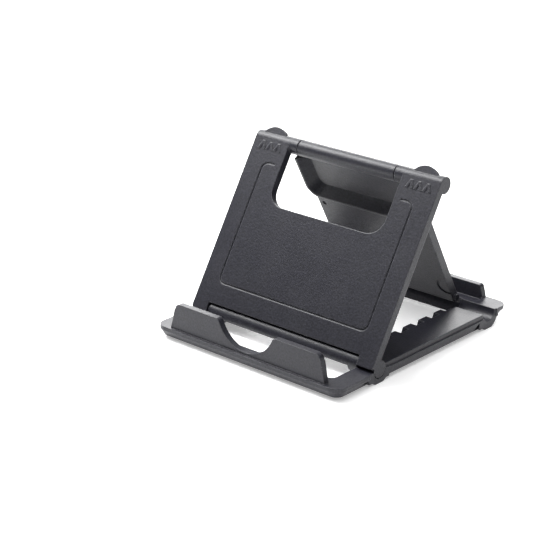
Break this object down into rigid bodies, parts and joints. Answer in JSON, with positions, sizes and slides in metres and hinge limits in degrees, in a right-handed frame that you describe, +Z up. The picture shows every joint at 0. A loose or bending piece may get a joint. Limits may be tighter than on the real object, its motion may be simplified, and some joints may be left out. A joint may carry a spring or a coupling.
{
  "type": "folding phone stand",
  "caption": "Folding phone stand with a lipped base, a hinged backrest with a U-shaped cut-out, and a hinged strut that stands in the rear of the base.",
  "frame": {"origin": "on the ground, below the centre of the open stand's bounding box", "axes": "+X to the stand's right along the hinges, seen from the front; +Y to the rear; +Z up"},
  "size_m": [0.084, 0.1012, 0.068],
  "materials": {
    "shell": "fine matte texture, charcoal",
    "pin": "plain drawn wire"
  },
  "bodies": {
    "base": {"base_frame": "shell"},
    "backrest": {"backrest": "shell", "lower_pin_left": "pin", "lower_pin_right": "pin", "upper_pin_left": "pin", "upper_pin_right": "pin"},
    "strut": {"strut": "shell"}
  },
  "joints": [
    {"name": "backrest_hinge", "type": "hinge", "parent": "base", "child": "backrest", "pos_m": [0, -0.0276, 0.0052], "axis": [1, 0, 0], "range_deg": [-59.4, 0]},
    {"name": "strut_hinge", "type": "hinge", "parent": "backrest", "child": "strut", "pos_m": [0, 0.00497, 0.06273], "axis": [1, 0, 0], "range_deg": [-61.3, 0]}
  ],
  "couplings": [
    {"joint": "strut_hinge", "follows": "backrest_hinge", "ratio": 1.032}
  ]
}
